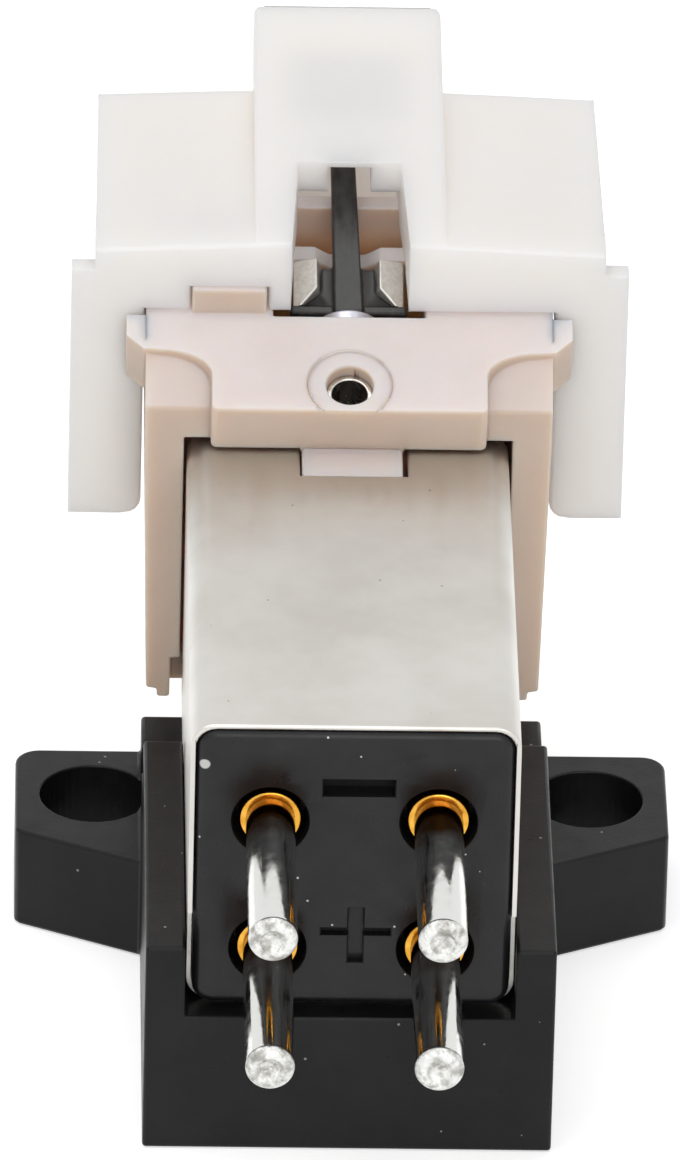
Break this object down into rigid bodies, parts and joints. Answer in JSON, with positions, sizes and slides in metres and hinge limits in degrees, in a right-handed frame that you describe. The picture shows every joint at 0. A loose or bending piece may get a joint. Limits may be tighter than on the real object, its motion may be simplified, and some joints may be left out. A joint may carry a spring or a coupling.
{
  "type": "turntable stylus cartridge",
  "caption": "Phono cartridge with a metal can, eared bracket, contact pins, sloping stylus unit and a pull-off translucent stylus guard.",
  "frame": {"origin": "midway between the two mounting holes, on the mounting face", "axes": "+X to the right seen from the pins, +Y towards the stylus end, +Z from the mounting face to the record side"},
  "size_m": [0.0168, 0.0317, 0.0186],
  "materials": {
    "black_plastic": "moulded black plastic, fine matt texture with light handling scratches",
    "block_plastic": "moulded black plastic, smooth",
    "nickel_plate": "satin nickel plate on drawn sheet",
    "tinned_pin": "tinned over gold, bright, with gold near the root",
    "gold_plate": "gold plate, bright",
    "core_alloy": "stacked laminations, annealed",
    "bobbin_plastic": "moulded dark plastic",
    "copper_wire": "enamelled copper wire, wound in layers",
    "cream_plastic": "moulded cream plastic, half gloss",
    "tube_steel": "rolled steel tube and wire",
    "sleeve_metal": "drawn aluminium, pale",
    "damper_rubber": "soft moulded rubber",
    "carbon_plastic": "carbon-filled plastic, dark grey, matt",
    "magnet_metal": "ground magnet, grey metal",
    "diamond": "polished diamond",
    "milky_plastic": "milky translucent plastic, half gloss"
  },
  "bodies": {
    "cartridge": {"mounting_bracket": "black_plastic", "shield_can": "nickel_plate", "terminal_block": "block_plastic", "pin_left_minus": "tinned_pin", "pin_right_minus": "tinned_pin", "pin_left_plus": "tinned_pin", "pin_right_plus": "tinned_pin", "collar_left_minus": "gold_plate", "collar_right_minus": "gold_plate", "collar_left_plus": "gold_plate", "collar_right_plus": "gold_plate", "pole_frame": "block_plastic", "core_left": "core_alloy", "core_right": "core_alloy", "bobbin_left_upper": "bobbin_plastic", "bobbin_left_lower": "bobbin_plastic", "bobbin_right_upper": "bobbin_plastic", "bobbin_right_lower": "bobbin_plastic", "coil_left_upper": "copper_wire", "coil_left_lower": "copper_wire", "coil_right_upper": "copper_wire", "coil_right_lower": "copper_wire"},
    "stylus_unit": {"stylus_holder": "cream_plastic", "anchor_tube": "tube_steel", "tie_wire": "tube_steel", "suspension_sleeve": "sleeve_metal"},
    "damper": {"damper_ring": "damper_rubber"},
    "moving_system": {"cantilever": "carbon_plastic", "magnet_left": "magnet_metal", "magnet_right": "magnet_metal", "stylus_tip": "diamond"},
    "guard": {"stylus_guard": "milky_plastic"}
  },
  "joints": [
    {"name": "stylus_unit_pull", "type": "slide", "parent": "cartridge", "child": "stylus_unit", "axis": [0, 0.9205, 0.3907], "range_m": [0, 0.009]},
    {"name": "guard_pull", "type": "slide", "parent": "stylus_unit", "child": "guard", "axis": [0, 0.9205, 0.3907], "range_m": [0, 0.01]},
    {"name": "cantilever_sway", "type": "hinge", "parent": "stylus_unit", "child": "damper", "pos_m": [0, 0.00494, 0.01378], "axis": [0, -0.3907, 0.9205], "range_deg": [-1.5, 1.5], "stiffness_Nm_per_rad": 0.003},
    {"name": "cantilever_lift", "type": "hinge", "parent": "damper", "child": "moving_system", "pos_m": [0, 0.00494, 0.01378], "axis": [1, 0, 0], "range_deg": [-1, 0.6], "stiffness_Nm_per_rad": 0.003}
  ]
}
